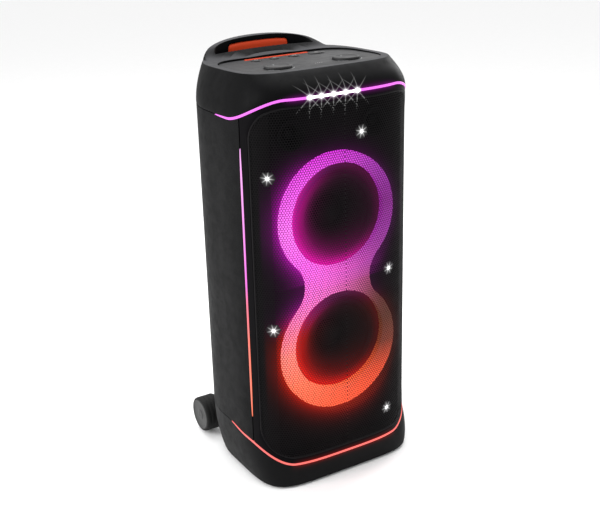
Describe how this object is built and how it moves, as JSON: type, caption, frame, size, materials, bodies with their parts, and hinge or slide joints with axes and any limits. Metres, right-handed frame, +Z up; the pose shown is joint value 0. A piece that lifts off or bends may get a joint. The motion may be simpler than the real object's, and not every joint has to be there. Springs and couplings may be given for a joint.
{
  "type": "party speaker",
  "caption": "Tall portable party speaker with a lit figure-of-eight ring behind a curved grille, light strips, top dials, a rear carry handle, transport wheels and a removable battery.",
  "frame": {"origin": "centre of the bounding box in plan, on the floor", "axes": "+X to the right seen from the front, -Y out of the front grille, +Z up"},
  "size_m": [0.4166, 0.3848, 0.938],
  "materials": {
    "shell": "fine satin grain",
    "deck": "satin",
    "bezel": "semi gloss",
    "mesh": "perforated sheet, powder coated",
    "baffle": "matte",
    "glow_violet": "lit light guide",
    "glow_red": "lit light guide",
    "lamp": "clear lens, lit",
    "orange": "soft touch",
    "cone": "matte black",
    "magnet": "black",
    "rubber": "matte",
    "tyre": "matte",
    "steel": "brushed",
    "knob": "satin",
    "hub": "satin"
  },
  "bodies": {
    "cabinet_body": {"cabinet": "shell", "top_housing": "shell", "carry_handle": "shell", "base_housing": "shell", "rear_panel": "shell", "control_panel": "deck", "front_bezel": "bezel", "tweeter_left_horn": "bezel", "tweeter_right_horn": "bezel", "io_tray": "bezel", "bass_port": "bezel", "front_grille": "mesh", "front_baffle": "baffle", "light_strip_top": "glow_violet", "light_strip_left": "glow_violet", "light_strip_right": "glow_violet", "light_ring": "glow_violet", "light_strip_base": "glow_red", "strobe_bar": "lamp", "point_light_1": "lamp", "point_light_2": "lamp", "point_light_3": "lamp", "point_light_4": "lamp", "point_light_5": "lamp", "handle_grip": "orange", "device_slot_liner": "orange", "woofer_upper_magnet": "magnet", "woofer_lower_magnet": "magnet", "woofer_upper_frame": "magnet", "woofer_lower_frame": "magnet", "tweeter_left_dome": "magnet", "tweeter_right_dome": "magnet", "woofer_upper_surround": "rubber", "woofer_lower_surround": "rubber", "foot_front_left": "rubber", "foot_front_right": "rubber", "foot_rear_left": "rubber", "foot_rear_right": "rubber", "wheel_axle": "steel", "amplifier": "steel", "mains_inlet": "knob"},
    "wheel_left_body": {"wheel_left": "hub", "tyre_left": "tyre"},
    "wheel_right_body": {"wheel_right": "hub", "tyre_right": "tyre"},
    "dial_left_body": {"dial_left": "knob"},
    "dial_right_body": {"dial_right": "knob"},
    "button_power_body": {"button_power": "knob"},
    "button_pair_body": {"button_pair": "knob"},
    "button_play_body": {"button_play": "knob"},
    "button_lights_body": {"button_lights": "knob"},
    "mic_gain_body": {"mic_gain_knob": "knob"},
    "guitar_gain_body": {"guitar_gain_knob": "knob"},
    "port_cover_body": {"port_cover": "rubber"},
    "battery_body": {"battery_pack": "knob"},
    "battery_latch_body": {"battery_latch": "orange"},
    "woofer_upper_diaphragm": {"woofer_upper_cone": "cone", "woofer_upper_cap": "cone"},
    "woofer_lower_diaphragm": {"woofer_lower_cone": "cone", "woofer_lower_cap": "cone"}
  },
  "joints": [
    {"name": "wheel_left_spin", "type": "hinge", "parent": "cabinet_body", "child": "wheel_left_body", "pos_m": [-0.182, 0.1504, 0.047], "axis": [1, 0, 0], "continuous": true},
    {"name": "wheel_right_spin", "type": "hinge", "parent": "cabinet_body", "child": "wheel_right_body", "pos_m": [0.182, 0.1504, 0.047], "axis": [1, 0, 0], "continuous": true},
    {"name": "dial_left_turn", "type": "hinge", "parent": "cabinet_body", "child": "dial_left_body", "pos_m": [-0.082, -0.074, 0.90891], "axis": [0, 0.0479, 0.9988], "continuous": true},
    {"name": "dial_right_turn", "type": "hinge", "parent": "cabinet_body", "child": "dial_right_body", "pos_m": [0.082, -0.074, 0.90891], "axis": [0, 0.0479, 0.9988], "continuous": true},
    {"name": "button_power_press", "type": "slide", "parent": "cabinet_body", "child": "button_power_body", "axis": [0, -0.0479, -0.9988], "range_m": [0, 0.0015], "stiffness_N_per_m": 400, "springref_m": -0.0005},
    {"name": "button_pair_press", "type": "slide", "parent": "cabinet_body", "child": "button_pair_body", "axis": [0, -0.0479, -0.9988], "range_m": [0, 0.0015], "stiffness_N_per_m": 400, "springref_m": -0.0005},
    {"name": "button_play_press", "type": "slide", "parent": "cabinet_body", "child": "button_play_body", "axis": [0, -0.0479, -0.9988], "range_m": [0, 0.0015], "stiffness_N_per_m": 400, "springref_m": -0.0005},
    {"name": "button_lights_press", "type": "slide", "parent": "cabinet_body", "child": "button_lights_body", "axis": [0, -0.0479, -0.9988], "range_m": [0, 0.0015], "stiffness_N_per_m": 400, "springref_m": -0.0005},
    {"name": "mic_gain_turn", "type": "hinge", "parent": "cabinet_body", "child": "mic_gain_body", "pos_m": [-0.052, 0.14, 0.706], "axis": [0, 1, 0], "range_deg": [-140, 140]},
    {"name": "guitar_gain_turn", "type": "hinge", "parent": "cabinet_body", "child": "guitar_gain_body", "pos_m": [-0.022, 0.14, 0.706], "axis": [0, 1, 0], "range_deg": [-140, 140]},
    {"name": "port_cover_hinge", "type": "hinge", "parent": "cabinet_body", "child": "port_cover_body", "pos_m": [0.037, 0.1328, 0.683], "axis": [1, 0, 0], "range_deg": [0, 110]},
    {"name": "battery_slide", "type": "slide", "parent": "cabinet_body", "child": "battery_body", "axis": [0, 1, 0], "range_m": [0, 0.12]},
    {"name": "battery_latch_slide", "type": "slide", "parent": "battery_body", "child": "battery_latch_body", "axis": [1, 0, 0], "range_m": [0, 0.014], "stiffness_N_per_m": 150, "springref_m": -0.002},
    {"name": "woofer_upper_stroke", "type": "slide", "parent": "cabinet_body", "child": "woofer_upper_diaphragm", "axis": [0, -1, 0], "range_m": [-0.004, 0.004], "stiffness_N_per_m": 2000},
    {"name": "woofer_lower_stroke", "type": "slide", "parent": "cabinet_body", "child": "woofer_lower_diaphragm", "axis": [0, -1, 0], "range_m": [-0.004, 0.004], "stiffness_N_per_m": 2000}
  ]
}
